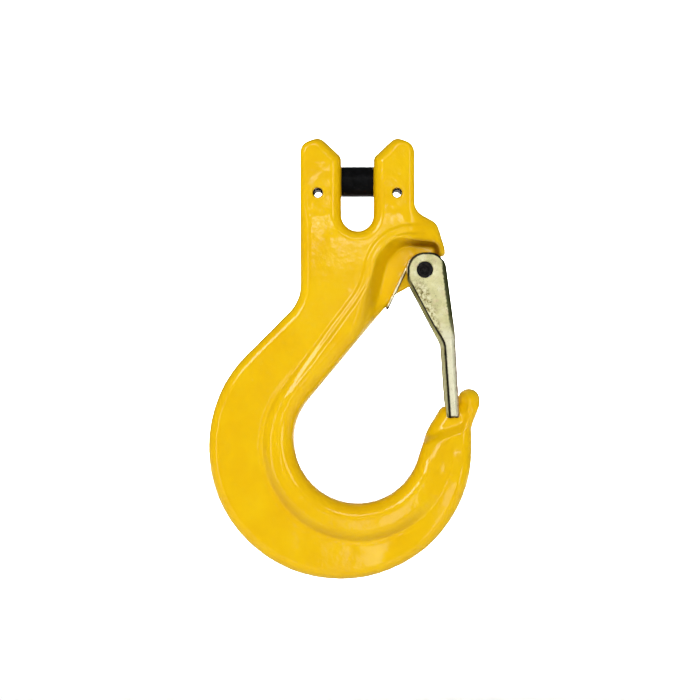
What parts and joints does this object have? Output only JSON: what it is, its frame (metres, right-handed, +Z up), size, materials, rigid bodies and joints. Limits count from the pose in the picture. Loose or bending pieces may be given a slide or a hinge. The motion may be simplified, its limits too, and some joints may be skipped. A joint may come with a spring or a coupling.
{
  "type": "clevis sling hook",
  "caption": "Forged clevis hook with a wide bowl, a black load pin across the clevis and a spring latch that closes the throat.",
  "frame": {"origin": "centre of the load pin, midway between the clevis ears", "axes": "+Z up from the bowl to the clevis, +X from the back of the hook towards the throat and the latch, Y through the thickness with -Y the front"},
  "size_m": [0.1113, 0.027, 0.18],
  "materials": {
    "yellow_powder_coat": "glossy powder coat on forged steel",
    "black_oxide": "black oxide on turned steel",
    "dark_spring_steel": "dark oiled spring steel",
    "yellow_zinc_sheet": "yellow passivated zinc on stamped sheet",
    "spring_wire": "bright zinc on drawn wire"
  },
  "bodies": {
    "hook": {"hook_body": "yellow_powder_coat", "retaining_pin_left": "dark_spring_steel", "retaining_pin_right": "dark_spring_steel", "latch_pivot_pin": "dark_spring_steel", "latch_spring": "spring_wire"},
    "load_pin": {"load_pin": "black_oxide"},
    "latch": {"latch": "yellow_zinc_sheet"}
  },
  "joints": [
    {"name": "latch_hinge", "type": "hinge", "parent": "hook", "child": "latch", "pos_m": [0.02745, 0, -0.0366], "axis": [0, 1, 0], "range_deg": [0, 48], "stiffness_Nm_per_rad": 0.12, "springref_deg": -34.38, "deforming": ["latch_spring"]},
    {"name": "load_pin_spin", "type": "hinge", "parent": "hook", "child": "load_pin", "pos_m": [0, 0, 0], "axis": [1, 0, 0], "continuous": true}
  ]
}
